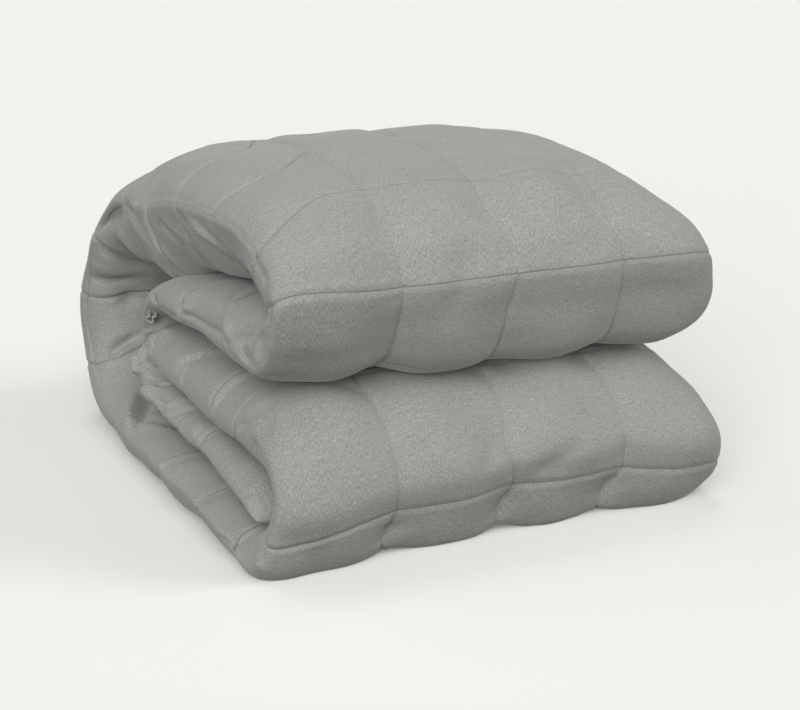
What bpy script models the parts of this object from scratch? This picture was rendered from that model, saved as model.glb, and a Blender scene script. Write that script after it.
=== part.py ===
"""A quilted weighted blanket, folded into a stack, with a small tape loop at one hem corner.

Metres, +Z up. X runs across the stack, +Y to the spine at its back, and the origin is the
middle of its footprint on the ground.
"""

import bmesh
import bpy
import numpy as np

# Driving dimensions
square = 0.1016  # pitch of the quilting, 4 in
half_across = 2.045  # from the middle of the stack round to the middle of a side edge, in squares
station_step = 0.25  # spacing of the sections along the path, in squares
inner_crown = 14  # how square the inner faces run to the side edges
stack_middle = (-0.07797, 2.47766)  # middle of the footprint in the fold table's squares, across and back

# The path of the folded cloth, from the hem to the tucked end. Each row is a station, in squares:
#   at              place along the path; the sewn cross seams are the whole numbers
#   out_y, out_z    face that shows on the outside of the folds
#   in_y, in_z      face that shows on the inside of the folds
#   left, right     how far the folded side edges stand from the middle
#   crown_l, crown_r  how square the outer face runs to each edge (4 is a soft crown)
#   tip_l, tip_r    height of each edge between the inner face (0) and the outer face (1)
#   puff            how far the cloth draws in at the seams
# Where the outer face would sink below the ground it is flattened onto it.
FOLD_COLUMNS = (
    "at", "out_y", "out_z", "in_y", "in_z",
    "left", "right", "crown_l", "crown_r", "tip_l", "tip_r", "puff",
)
FOLDS = (
    # hanging lip of the hem, then the nose of the upper inner layer
    (-4.15, 3.50, 0.98, 3.54, 0.99, 1.90, 1.90, 6, 6, 0.5, 0.5, 0.00),
    (-4.05, 3.49, 1.06, 3.58, 1.08, 1.98, 1.96, 6, 6, 0.5, 0.5, 0.00),
    (-3.80, 3.42, 1.22, 3.54, 1.29, 2.02, 2.00, 6, 6, 0.5, 0.5, 0.01),
    (-3.50, 3.24, 1.37, 3.38, 1.50, 2.03, 2.00, 7, 6, 0.5, 0.5, 0.02),
    (-3.20, 2.98, 1.41, 3.16, 1.69, 2.04, 2.00, 8, 6, 0.5, 0.5, 0.03),
    (-2.90, 2.68, 1.41, 2.84, 1.80, 2.04, 2.00, 8, 6, 0.5, 0.5, 0.03),
    # upper inner layer, going forward
    (-2.30, 2.10, 1.41, 2.20, 1.88, 2.04, 2.00, 8, 6, 0.5, 0.5, 0.03),
    (-1.60, 1.45, 1.41, 1.55, 1.95, 2.04, 2.00, 8, 6, 0.5, 0.5, 0.03),
    # upper front fold
    (-1.00, 0.82, 1.385, 0.98, 2.02, 2.05, 2.05, 8, 9, 0.5, 0.5, 0.05),
    (-0.70, 0.44, 1.35, 0.68, 2.045, 2.05, 2.09, 6, 12, 0.6, 0.5, 0.07),
    (-0.40, 0.10, 1.54, 0.48, 2.055, 2.05, 2.09, 8, 12, 0.7, 0.5, 0.08),
    (-0.18, -0.04, 1.88, 0.40, 2.06, 2.05, 2.05, 11, 11, 0.8, 0.5, 0.08),
    (0.00, -0.05, 2.24, 0.38, 2.065, 2.05, 1.98, 12, 8, 0.8, 0.4, 0.08),
    (0.25, 0.07, 2.52, 0.40, 2.07, 2.05, 1.93, 9, 6, 0.7, 0.3, 0.08),
    (0.55, 0.28, 2.75, 0.50, 2.075, 2.05, 1.87, 7, 4.5, 0.6, 0.25, 0.07),
    (1.00, 0.66, 2.90, 0.75, 2.07, 2.05, 1.84, 6, 4, 0.45, 0.25, 0.05),
    # upper outer layer, over the top and down the back
    (1.50, 1.16, 2.98, 1.16, 2.04, 2.06, 1.82, 5, 4, 0.38, 0.3, 0.05),
    (2.00, 1.68, 3.03, 1.68, 1.97, 2.07, 1.82, 5, 4, 0.36, 0.35, 0.05),
    (2.50, 2.18, 3.035, 2.16, 1.91, 2.08, 1.82, 5, 4, 0.36, 0.35, 0.05),
    (3.00, 2.66, 2.99, 2.58, 1.89, 2.09, 1.82, 5, 4, 0.38, 0.35, 0.05),
    (3.50, 3.10, 2.87, 2.95, 1.93, 2.10, 1.82, 5, 4, 0.42, 0.4, 0.05),
    (4.00, 3.53, 2.67, 3.27, 2.00, 2.11, 1.83, 5, 4, 0.46, 0.45, 0.05),
    (4.50, 3.94, 2.42, 3.58, 1.95, 2.12, 1.86, 5, 4, 0.5, 0.5, 0.05),
    (5.00, 4.33, 2.12, 3.84, 1.78, 2.12, 1.89, 5, 4, 0.5, 0.5, 0.05),
    (5.50, 4.68, 1.78, 4.08, 1.54, 2.12, 1.92, 5, 4, 0.5, 0.5, 0.06),
    # spine
    (6.00, 4.93, 1.42, 4.26, 1.29, 2.12, 1.95, 5, 4, 0.5, 0.5, 0.06),
    (6.50, 5.06, 1.04, 4.32, 1.02, 2.12, 1.98, 5, 4, 0.5, 0.5, 0.06),
    (7.00, 5.04, 0.65, 4.24, 0.76, 2.12, 2.00, 5, 5, 0.5, 0.5, 0.06),
    (7.50, 4.80, 0.30, 4.02, 0.57, 2.14, 2.02, 7, 6, 0.5, 0.5, 0.06),
    # lower outer layer, on the ground, going forward
    (8.00, 4.38, 0.07, 3.70, 0.475, 2.17, 2.04, 10, 7, 0.45, 0.45, 0.06),
    (8.50, 3.85, -0.03, 3.30, 0.445, 2.20, 2.05, 14, 10, 0.35, 0.4, 0.08),
    (9.50, 2.85, -0.03, 2.62, 0.43, 2.24, 2.06, 16, 12, 0.35, 0.4, 0.08),
    (10.50, 1.85, -0.03, 1.85, 0.41, 2.25, 2.07, 16, 12, 0.35, 0.4, 0.08),
    (11.50, 0.85, -0.03, 1.00, 0.36, 2.25, 2.08, 16, 12, 0.35, 0.4, 0.08),
    (12.05, 0.30, -0.03, 0.64, 0.28, 2.24, 2.09, 16, 12, 0.4, 0.4, 0.08),
    (12.35, 0.06, -0.02, 0.50, 0.27, 2.22, 2.09, 16, 12, 0.6, 0.5, 0.08),
    (12.65, -0.07, 0.10, 0.38, 0.33, 2.17, 2.08, 14, 11, 0.75, 0.7, 0.08),
    # lower front fold
    (13.00, -0.09, 0.34, 0.31, 0.44, 2.11, 2.06, 12, 10, 0.8, 0.8, 0.08),
    (13.30, -0.12, 0.64, 0.29, 0.56, 2.07, 2.04, 12, 9, 0.8, 0.7, 0.08),
    (13.55, -0.06, 0.92, 0.33, 0.65, 2.05, 1.97, 10, 7, 0.7, 0.6, 0.08),
    (13.80, 0.10, 1.13, 0.43, 0.70, 2.05, 1.94, 9, 6, 0.6, 0.5, 0.07),
    (14.10, 0.42, 1.28, 0.65, 0.74, 2.05, 1.95, 8, 5, 0.5, 0.4, 0.05),
    # lower stack's top layer, going back to its nose
    (14.60, 0.95, 1.35, 1.02, 0.765, 2.05, 2.00, 7, 5, 0.4, 0.4, 0.03),
    (15.50, 1.75, 1.375, 1.70, 0.80, 2.05, 2.00, 7, 5, 0.4, 0.4, 0.03),
    (16.50, 2.60, 1.365, 2.35, 0.85, 2.05, 2.00, 7, 5, 0.4, 0.4, 0.03),
    (17.00, 3.02, 1.31, 2.68, 0.88, 2.05, 2.00, 7, 5, 0.45, 0.45, 0.04),
    (17.30, 3.28, 1.18, 2.80, 0.88, 2.05, 2.00, 7, 5, 0.5, 0.5, 0.05),
    (17.60, 3.40, 0.95, 2.84, 0.86, 2.05, 2.00, 7, 5, 0.5, 0.5, 0.05),
    (17.90, 3.28, 0.70, 2.76, 0.845, 2.05, 2.00, 7, 5, 0.5, 0.5, 0.05),
    (18.30, 2.92, 0.52, 2.54, 0.825, 2.06, 2.00, 7, 5, 0.5, 0.5, 0.04),
    # lower stack's middle layer, forward to the tucked end
    (19.00, 2.20, 0.455, 2.10, 0.785, 2.07, 2.00, 7, 5, 0.5, 0.5, 0.02),
    (20.00, 1.30, 0.42, 1.30, 0.75, 2.08, 2.00, 7, 5, 0.5, 0.5, 0.02),
    (20.60, 0.82, 0.35, 0.86, 0.71, 2.08, 2.00, 7, 5, 0.5, 0.5, 0.01),
    (20.85, 0.60, 0.37, 0.62, 0.62, 2.04, 1.98, 7, 5, 0.5, 0.5, 0.00),
    (20.95, 0.52, 0.43, 0.53, 0.53, 1.96, 1.94, 7, 5, 0.5, 0.5, 0.00),
)


# Tape loop at the hem corner
loop_at = -3.35  # place along the path where the loop is sewn in, in squares
loop_length = 0.0150
loop_width = 0.0068  # across the two legs of the folded tape
tape_thickness = 0.0016
tape_width = 0.0102
loop_lean = 0.45  # turned back from upright, in radians
seat_gap = 0.0003  # between the tape and the cloth that it is sewn to

cloth_color = (0.31, 0.315, 0.30, 1.0)
tape_color = (0.27, 0.275, 0.262, 1.0)


def clear_scene():
    for thing in list(bpy.data.objects):
        bpy.data.objects.remove(thing, do_unlink=True)


def make_material(name, color, roughness):
    material = bpy.data.materials.new(name)
    material.use_nodes = True
    shader = material.node_tree.nodes["Principled BSDF"]
    shader.inputs["Base Color"].default_value = color
    shader.inputs["Roughness"].default_value = roughness
    shader.inputs["Metallic"].default_value = 0.0
    return material


def along_path(at):
    """The fold table's columns at places along the path, on a smooth curve through its rows."""
    table = np.array(FOLDS)
    knots, values = table[:, 0], table[:, 1:]
    gaps = np.diff(knots)[:, None]
    slopes = np.diff(values, axis=0) / gaps
    tangents = np.empty_like(values)
    tangents[0], tangents[-1] = slopes[0], slopes[-1]
    tangents[1:-1] = (slopes[:-1] * gaps[1:] + slopes[1:] * gaps[:-1]) / (gaps[1:] + gaps[:-1])
    row = np.clip(np.searchsorted(knots, at, side="right") - 1, 0, len(knots) - 2)
    t = (at - knots[row])[:, None] / gaps[row]
    ease = t * t * (3 - 2 * t)
    bend = gaps[row] * (t * (1 - t) ** 2 * tangents[row] - t * t * (1 - t) * tangents[row + 1])
    return dict(zip(FOLD_COLUMNS[1:], (values[row] + ease * (values[row + 1] - values[row]) + bend).T))


def folded_cloth(at, across, outside):
    """Points of the cloth's surface, one row of points for each place along the path.

    across is the place from side edge to side edge, in squares along the cloth, and outside says
    which points are on the outer face. A section is two flattened half rounds, one on each side of
    the line between its two edge tips, drawn in where the quilting is sewn.
    """
    fold = {name: column[:, None] for name, column in along_path(at).items()}
    share = np.abs(across) / half_across
    leftward = across < 0
    edge = np.where(leftward, fold["left"], fold["right"])
    first = 1 / half_across
    x = np.where(share < first, np.abs(across), 1 + (share - first) / (1 - first) * (edge - 1))
    crown = np.where(leftward, fold["crown_l"], fold["crown_r"])
    crown = np.where(outside, crown, inner_crown)
    full = np.sqrt(np.clip(1 - (x / edge) ** crown, 0, 1))

    rightness = (across / half_across + 1) / 2
    tip = fold["tip_l"] + (fold["tip_r"] - fold["tip_l"]) * rightness
    thick = np.hypot(fold["out_y"] - fold["in_y"], fold["out_z"] - fold["in_z"])
    pillow = np.abs(np.sin(np.pi * across)) ** 0.6 * np.abs(np.sin(np.pi * at))[:, None] ** 0.6
    drawn = fold["puff"] * (1 - pillow) * np.minimum(thick / 0.2, 1) / np.maximum(thick, 0.05)
    drawn = drawn * np.minimum(full * 1.5, 1)
    level = np.where(outside, tip + (1 - tip) * full - drawn, tip - tip * full + 0.4 * drawn)

    y = fold["in_y"] + (fold["out_y"] - fold["in_y"]) * level
    z = fold["in_z"] + (fold["out_z"] - fold["in_z"]) * level
    x = np.where(leftward, -x, x) + 0 * y
    return square * np.stack([x, y, np.maximum(z, 0)], axis=-1)


def path_stations():
    start, end = FOLDS[0][0], FOLDS[-1][0]
    inside = np.arange(np.ceil(start / station_step) * station_step, end, station_step)
    return np.unique(np.round(np.concatenate([[start, start + 0.1], inside, [end - 0.1, end]]), 4))


def to_ground_frame(points):
    """Moves points so that the origin is the middle of the footprint."""
    return points - square * np.array([*stack_middle, 0.0])


def add_solid(name, points, faces, material):
    mesh = bpy.data.meshes.new(name)
    mesh.from_pydata(points.tolist(), [], faces)
    shell = bmesh.new()
    shell.from_mesh(mesh)
    bmesh.ops.recalc_face_normals(shell, faces=shell.faces)
    shell.to_mesh(mesh)
    shell.free()
    mesh.materials.append(material)
    mesh.shade_smooth()
    solid = bpy.data.objects.new(name, mesh)
    bpy.context.scene.collection.objects.link(solid)
    return solid


def cap_faces(ring, across, outside):
    """Closes one end ring with a strip of faces between its outer and its inner points."""
    order = np.argsort(across)
    stops = np.concatenate([[-half_across], np.sort(across[~outside]), [half_across]])
    faces = []
    for low, high in zip(stops[:-1], stops[1:]):
        span = order[(across[order] >= low) & (across[order] <= high)]
        top, bottom = span[outside[span]], span[~outside[span]]
        faces.append(ring[np.concatenate([top, bottom[::-1]])].tolist())
    return faces


def build_blanket(material):
    """One closed tube of cloth: rings of outer and inner points, joined ring to ring and capped."""
    to_edge = np.array([0.25, 0.5, 0.75, 1.0, 1.25, 1.5, 1.75, 1.9, 2.0, 2.035, half_across])
    outer = np.concatenate([-to_edge[::-1], [0.0], to_edge])
    to_edge_inside = np.array([0.25, 0.75, 1.25, 1.75, 2.0])
    across = np.concatenate([outer, to_edge_inside[::-1], -to_edge_inside])
    outside = np.arange(len(across)) < len(outer)

    points = to_ground_frame(folded_cloth(path_stations(), across, outside))
    rings, ring_size = points.shape[:2]
    ids = np.arange(rings * ring_size).reshape(rings, ring_size)
    turned = np.roll(ids, -1, axis=1)
    walls = np.stack([ids[:-1], turned[:-1], turned[1:], ids[1:]], axis=-1).reshape(-1, 4)
    caps = cap_faces(ids[0], across, outside) + cap_faces(ids[-1], across, outside)
    return add_solid("blanket", points.reshape(-1, 3), walls.tolist() + caps, material)


def build_corner_loop(material):
    """A strip of tape folded into a narrow teardrop, standing on the hem's side edge."""
    fold = {name: column[0] for name, column in along_path(np.array([loop_at])).items()}
    root_y = square * (fold["in_y"] + fold["out_y"]) / 2
    root_z = square * (fold["in_z"] + fold["out_z"]) / 2
    root = np.array([-square * fold["left"] - seat_gap - tape_width / 2, root_y, root_z])

    # Middle line of the tape: two legs that part and meet again round a full bow.
    turn = np.linspace(0, np.pi, 13)
    leg = (loop_width - tape_thickness) / 2
    side = leg * np.abs(np.sin(turn)) ** 0.8
    rise = (loop_length - tape_thickness) * (1 - np.cos(turn)) / 2
    closed = np.concatenate([np.stack([side, rise], 1), np.stack([-side, rise], 1)[-2:0:-1]])
    ahead = np.roll(closed, -1, axis=0) - np.roll(closed, 1, axis=0)
    normal = np.stack([ahead[:, 1], -ahead[:, 0]], 1) / np.hypot(*ahead.T)[:, None]
    rims = [closed + normal * tape_thickness / 2, closed - normal * tape_thickness / 2]

    lean = np.array([[np.cos(loop_lean), np.sin(loop_lean)], [-np.sin(loop_lean), np.cos(loop_lean)]])
    rings = []
    for rim, x in ((rims[0], -1), (rims[0], 1), (rims[1], 1), (rims[1], -1)):
        flat = (rim - [0, loop_length / 2]) @ lean
        rings.append(np.column_stack([np.full(len(flat), x * tape_width / 2), flat]) + root)
    points = to_ground_frame(np.array(rings))
    ids = np.arange(points.shape[0] * points.shape[1]).reshape(points.shape[:2])
    around = np.roll(ids, -1, axis=1)
    after = np.roll(ids, -1, axis=0)
    faces = np.stack([ids, around, np.roll(around, -1, axis=0), after], axis=-1).reshape(-1, 4)
    return add_solid("corner_loop", points.reshape(-1, 3), faces.tolist(), material)


clear_scene()
build_blanket(make_material("plush_cloth", cloth_color, 0.9))
build_corner_loop(make_material("loop_tape", tape_color, 0.85))
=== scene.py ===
# A box-quilted weighted blanket, folded into a stack, with a small tape loop at one corner of its hem.
import math

import bpy
import mathutils
import numpy as np
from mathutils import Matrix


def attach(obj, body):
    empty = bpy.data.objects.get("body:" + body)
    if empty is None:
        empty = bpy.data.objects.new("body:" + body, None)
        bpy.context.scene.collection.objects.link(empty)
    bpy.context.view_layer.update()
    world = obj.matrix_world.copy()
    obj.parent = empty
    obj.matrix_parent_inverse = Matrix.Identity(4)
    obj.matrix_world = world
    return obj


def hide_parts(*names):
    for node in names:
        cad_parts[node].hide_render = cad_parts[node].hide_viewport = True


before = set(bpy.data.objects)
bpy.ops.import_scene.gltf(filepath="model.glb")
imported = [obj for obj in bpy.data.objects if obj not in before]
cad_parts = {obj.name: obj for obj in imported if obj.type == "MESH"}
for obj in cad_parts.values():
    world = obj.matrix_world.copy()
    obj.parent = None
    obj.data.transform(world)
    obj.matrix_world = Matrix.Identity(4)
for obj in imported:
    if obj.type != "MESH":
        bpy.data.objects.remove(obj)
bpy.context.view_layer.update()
print("frame loaded:", sorted(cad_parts))


# A shader socket that takes part in Python sums and products
class Wire:
    def __init__(self, tree, socket=None):
        self.tree, self.socket = tree, socket

    # Adds a node: its settings first, then what its inputs hold or take. Gives back one output.
    def node(self, kind, settings=None, inputs=None, output=0):
        made = self.tree.nodes.new(kind)
        for name, value in (settings or {}).items():
            setattr(made, name, value)
        for name, value in (inputs or {}).items():
            if isinstance(value, Wire):
                self.tree.links.new(value.socket, made.inputs[name])
            else:
                made.inputs[name].default_value = value
        return Wire(self.tree, made.outputs[output] if made.outputs else None)

    def calculate(self, operation, *values):
        return self.node("ShaderNodeMath", {"operation": operation}, dict(enumerate(values)))

    def __add__(self, other):
        return self.calculate("ADD", self, other)

    def __mul__(self, other):
        return self.calculate("MULTIPLY", self, other)

    __radd__, __rmul__ = __add__, __mul__


def newMaterial(name):
    material = bpy.data.materials.new(name)
    material.use_nodes = True
    material.node_tree.nodes.clear()
    return material, Wire(material.node_tree)


def finishMaterial(wire, shaderInputs):
    shader = wire.node("ShaderNodeBsdfPrincipled", None, shaderInputs)
    wire.node("ShaderNodeOutputMaterial", None, {"Surface": shader})


# Between two colors, by a number from 0 to 1
def toneMix(wire, amount, dark, light):
    return wire.node("ShaderNodeMix", {"data_type": "RGBA"}, {0: amount, 6: dark, 7: light}, output=2)


# A number between low and high brought to between 0 and 1, evenly or smoothly
def stretched(wire, value, low, high, interpolation="LINEAR"):
    limits = {0: value, 1: low, 2: high, 3: 0.0, 4: 1.0}
    return wire.node("ShaderNodeMapRange", {"interpolation_type": interpolation}, limits)


def noise(wire, place, scale, detail):
    return wire.node("ShaderNodeTexNoise", None, {"Vector": place, "Scale": scale, "Detail": detail})


# A color times a number, with its alpha
def shade(color, times):
    return (*(np.array(color) * times), 1)


# Smooth uneven value at points in space: the sum of many plane waves, sin(place . direction + phase),
# of about one length and in seeded directions
def lumps(points, length, fineness, waves, seed):
    dice = np.random.default_rng(seed)
    aim = dice.normal(size=(waves, 3))
    turns = dice.uniform(*fineness, (waves, 1)) * 2 * np.pi / length
    aim *= turns / np.linalg.norm(aim, axis=1)[:, None]
    phase = dice.uniform(0, 2 * np.pi, waves)
    return np.sin(points @ aim.T + phase).sum(-1) / math.sqrt(waves / 2)


# Smooth random value over two coordinates: a seeded lattice, eased between its corners
def ripple(a, b, seed):
    rows, columns = 97, 89
    lattice = np.random.default_rng(seed).uniform(-1, 1, (rows, columns))
    i, j = np.floor(a).astype(int), np.floor(b).astype(int)
    s, t = eased(a - i, 0, 1), eased(b - j, 0, 1)
    i, j, nextI, nextJ = i % rows, j % columns, (i + 1) % rows, (j + 1) % columns
    low = lattice[i, j] * (1 - t) + lattice[i, nextJ] * t
    high = lattice[nextI, j] * (1 - t) + lattice[nextI, nextJ] * t
    return low * (1 - s) + high * s


# From 0 below the first value to 1 above the second, as t^2 (3 - 2 t)
def eased(value, low, high):
    t = np.clip((value - low) / (high - low), 0, 1)
    return t * t * (3 - 2 * t)


# A soft bump round a middle: exp(-(distance / width)^2)
def bell(distance, width):
    return np.exp(-(distance / width) ** 2)


def unit(vectors):
    return vectors / np.maximum(np.linalg.norm(vectors, axis=-1, keepdims=True), 1e-12)


# A table's columns by name, on straight lines between its rows, at any places in its first column
def tableAt(columns, rows, place):
    first, *others = np.array(rows).T
    return {name: np.interp(place, first, values) for name, values in zip(columns[1:], others)}


def addToScene(name, data):
    made = bpy.data.objects.new(name, data)
    bpy.context.scene.collection.objects.link(made)
    return made


def makeObject(name, points, faces, material):
    mesh = bpy.data.meshes.new(name)
    mesh.from_pydata(points.tolist(), [], faces)
    mesh.materials.append(material)
    mesh.shade_smooth()
    mesh.update()
    print(f"{name}: {len(mesh.vertices)} points, {len(mesh.loops) - 2 * len(mesh.polygons)} triangles")
    return addToScene(name, mesh)


# The path of the folded cloth from the hem to the tucked end, in squares of the quilting. A row is
# a place along the path, its outer and inner face, how far the side edges stand from the middle,
# how square the outer face runs to each edge, the height of each edge between the faces, and how
# far the cloth draws in where it is sewn.
foldColumns = (
    "at", "outY", "outZ", "inY", "inZ",
    "left", "right", "crownLeft", "crownRight", "tipLeft", "tipRight", "puff",
)
foldRows = (
    # hanging lip of the hem, then the nose of the upper inner layer
    (-4.15, 3.32, 0.98, 3.36, 0.99, 1.82, 1.90, 6, 6, 0.5, 0.5, 0.00),
    (-4.05, 3.31, 1.06, 3.40, 1.08, 1.88, 1.96, 6, 6, 0.5, 0.5, 0.00),
    (-3.80, 3.25, 1.22, 3.37, 1.29, 1.92, 2.00, 6, 6, 0.5, 0.5, 0.01),
    (-3.50, 3.08, 1.36, 3.22, 1.49, 1.97, 2.00, 7, 6, 0.5, 0.5, 0.02),
    (-3.20, 2.86, 1.41, 3.03, 1.68, 2.02, 2.00, 8, 6, 0.5, 0.5, 0.03),
    (-2.90, 2.62, 1.41, 2.75, 1.80, 2.04, 2.00, 8, 6, 0.5, 0.5, 0.03),
    # upper inner layer, going forward
    (-2.30, 2.10, 1.41, 2.20, 1.88, 2.04, 2.00, 8, 6, 0.5, 0.5, 0.03),
    (-1.75, 1.45, 1.41, 1.55, 1.95, 2.04, 2.00, 8, 6, 0.5, 0.5, 0.03),
    # upper front fold
    (-1.42, 0.82, 1.365, 0.98, 2.02, 2.05, 2.05, 8, 9, 0.5, 0.5, 0.05),
    (-1.10, 0.42, 1.335, 0.68, 2.045, 2.05, 2.09, 8, 12, 0.6, 0.5, 0.07),
    (-0.86, 0.155, 1.49, 0.50, 2.055, 2.05, 2.09, 12, 12, 0.72, 0.5, 0.08),
    (-0.66, 0.06, 1.66, 0.46, 2.06, 2.05, 2.09, 13, 12, 0.77, 0.5, 0.08),
    (-0.40, -0.015, 1.88, 0.42, 2.06, 2.05, 2.05, 14, 11, 0.82, 0.5, 0.08),
    (0.00, -0.10, 2.24, 0.38, 2.065, 2.05, 1.98, 13, 8, 0.8, 0.4, 0.08),
    (0.25, 0.01, 2.52, 0.40, 2.07, 2.05, 1.93, 9, 6, 0.68, 0.3, 0.08),
    (0.55, 0.28, 2.75, 0.50, 2.075, 2.05, 1.87, 7, 4.5, 0.6, 0.25, 0.07),
    (1.00, 0.66, 2.90, 0.75, 2.07, 2.05, 1.84, 6, 4, 0.62, 0.25, 0.05),
    # upper outer layer, over the top and down the back
    (1.50, 1.16, 2.98, 1.16, 2.04, 2.06, 1.82, 5, 4, 0.62, 0.3, 0.05),
    (2.00, 1.68, 3.03, 1.68, 1.97, 2.07, 1.82, 5, 4, 0.60, 0.35, 0.05),
    (2.50, 2.18, 3.035, 2.16, 1.91, 2.08, 1.82, 5, 4, 0.57, 0.35, 0.05),
    (3.00, 2.66, 2.99, 2.58, 1.89, 2.09, 1.82, 5, 4, 0.51, 0.35, 0.05),
    (3.50, 3.10, 2.87, 2.95, 1.93, 2.10, 1.82, 5, 4, 0.47, 0.4, 0.05),
    (4.00, 3.53, 2.67, 3.27, 2.00, 2.11, 1.83, 5, 4, 0.47, 0.45, 0.05),
    (4.50, 3.94, 2.42, 3.58, 1.95, 2.12, 1.86, 5, 4, 0.5, 0.5, 0.05),
    (5.00, 4.33, 2.12, 3.84, 1.78, 2.12, 1.89, 5, 4, 0.5, 0.5, 0.05),
    (5.50, 4.68, 1.78, 4.08, 1.54, 2.12, 1.92, 5, 4, 0.5, 0.5, 0.06),
    # spine
    (6.00, 4.93, 1.42, 4.26, 1.29, 2.12, 1.95, 5, 4, 0.5, 0.5, 0.06),
    (6.50, 5.06, 1.04, 4.32, 1.02, 2.12, 1.98, 5, 4, 0.5, 0.5, 0.06),
    (7.00, 5.04, 0.65, 4.24, 0.76, 2.12, 2.00, 5, 5, 0.5, 0.5, 0.06),
    (7.50, 4.80, 0.30, 4.02, 0.57, 2.14, 2.02, 7, 6, 0.5, 0.5, 0.06),
    # lower outer layer, on the ground, going forward
    (8.00, 4.38, 0.07, 3.70, 0.475, 2.17, 2.04, 10, 7, 0.45, 0.45, 0.06),
    (8.50, 3.85, -0.03, 3.30, 0.445, 2.20, 2.05, 14, 10, 0.35, 0.4, 0.08),
    (9.50, 2.85, -0.03, 2.62, 0.43, 2.24, 2.06, 16, 12, 0.35, 0.4, 0.08),
    (10.50, 1.85, -0.03, 1.85, 0.41, 2.25, 2.07, 16, 12, 0.35, 0.4, 0.08),
    (11.50, 0.85, -0.03, 1.00, 0.36, 2.25, 2.08, 16, 12, 0.35, 0.4, 0.08),
    (12.05, 0.30, -0.03, 0.64, 0.28, 2.24, 2.09, 16, 12, 0.4, 0.4, 0.08),
    (12.35, 0.16, -0.03, 0.50, 0.27, 2.22, 2.09, 16, 12, 0.6, 0.5, 0.08),
    (12.65, 0.05, 0.09, 0.38, 0.33, 2.17, 2.08, 14, 11, 0.75, 0.7, 0.08),
    # lower front fold
    (13.00, -0.05, 0.34, 0.31, 0.44, 2.11, 2.06, 12, 10, 0.8, 0.8, 0.08),
    (13.30, -0.135, 0.64, 0.29, 0.56, 2.07, 2.04, 12, 9, 0.8, 0.7, 0.08),
    (13.55, -0.06, 0.92, 0.33, 0.65, 2.05, 1.97, 10, 7, 0.7, 0.6, 0.08),
    (13.72, 0.10, 1.13, 0.43, 0.70, 2.05, 1.94, 9, 6, 0.6, 0.5, 0.07),
    (13.88, 0.42, 1.285, 0.65, 0.74, 2.05, 1.95, 8, 5, 0.5, 0.4, 0.05),
    # lower stack's top layer, going back to its nose
    (14.35, 0.95, 1.35, 1.02, 0.765, 2.05, 2.00, 7, 5, 0.4, 0.4, 0.03),
    (15.50, 1.75, 1.375, 1.70, 0.80, 2.05, 2.00, 7, 5, 0.4, 0.4, 0.03),
    (16.50, 2.60, 1.365, 2.35, 0.85, 2.05, 2.00, 7, 5, 0.4, 0.4, 0.03),
    (17.00, 3.02, 1.31, 2.68, 0.88, 2.05, 2.00, 7, 5, 0.45, 0.45, 0.04),
    (17.30, 3.28, 1.18, 2.80, 0.88, 2.05, 2.00, 7, 5, 0.5, 0.5, 0.05),
    (17.60, 3.40, 0.95, 2.84, 0.86, 2.05, 2.00, 7, 5, 0.5, 0.5, 0.05),
    (17.90, 3.28, 0.70, 2.76, 0.845, 2.05, 2.00, 7, 5, 0.5, 0.5, 0.05),
    (18.30, 2.92, 0.52, 2.54, 0.825, 2.06, 2.00, 7, 5, 0.5, 0.5, 0.04),
    # lower stack's middle layer, forward to the tucked end
    (19.00, 2.20, 0.455, 2.10, 0.785, 2.07, 2.00, 7, 5, 0.5, 0.5, 0.02),
    (20.00, 1.30, 0.42, 1.30, 0.75, 2.08, 2.00, 7, 5, 0.5, 0.5, 0.02),
    (20.60, 0.70, 0.33, 0.68, 0.64, 2.08, 2.00, 7, 5, 0.5, 0.5, 0.01),
    (20.85, 0.45, 0.30, 0.42, 0.47, 2.06, 1.98, 7, 5, 0.5, 0.5, 0.00),
    (20.95, 0.38, 0.31, 0.36, 0.38, 2.02, 1.94, 7, 5, 0.5, 0.5, 0.00),
)

# Parts of one face that hang or swell: where they are along the path (since, whole, still, until),
# where across (from none to all), the face, and how far they move back and up, in squares
nudgeRows = (
    (2.6, 3.4, 4.1, 4.9, -1.1, -1.9, "inner", 0.00, -0.36),
    (-1.6, -1.1, -0.8, -0.3, 0.0, -1.5, "outer", 0.02, 0.09),
    (-0.5, -0.1, 0.1, 0.6, -1.1, -2.0, "outer", 0.00, 0.06),
    (13.6, 13.9, 14.3, 15.0, -0.2, -1.4, "outer", 0.00, 0.04),
    (12.3, 12.9, 13.1, 13.6, -1.7, 0.0, "outer", 0.00, 0.09),
    (12.5, 12.95, 13.05, 13.5, 0.9, 2.0, "outer", 0.00, -0.08),
    (11.9, 12.3, 13.1, 13.6, -1.0, -1.6, "outer", -0.06, 0.00),
    (11.9, 12.3, 13.1, 13.6, 0.8, 1.7, "outer", -0.06, 0.00),
)

# How far each cross seam slips along the path near the left edges, in squares: at the sewn line by
# the edge, and before it
slipColumns = ("seam", "atEdge", "beforeEdge")
slipRows = (
    (-5, 0.00, 0.00), (-3, 0.00, 0.00), (-2, -0.25, -0.25), (-1, -0.50, -0.68), (0, 0.00, 0.00),
    (1, -0.50, -0.06), (2, -0.48, -0.40), (3, -0.70, -0.60), (4, -0.95, -0.85), (5, -1.20, -0.95),
    (6, -0.92, -0.80), (7, -0.85, -1.00), (8, -0.75, -1.15), (9, -0.35, -0.30), (10, 0.20, 0.10),
    (11, 0.20, 0.10), (12, 0.15, 0.10), (13, -0.06, 0.04), (14, 0.20, 0.10), (15, -0.14, -0.10),
    (16, -0.10, -0.05), (17, 0.00, 0.00), (19, 0.00, 0.00), (20, -0.35, -0.30), (21, -0.05, -0.05),
)

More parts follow.
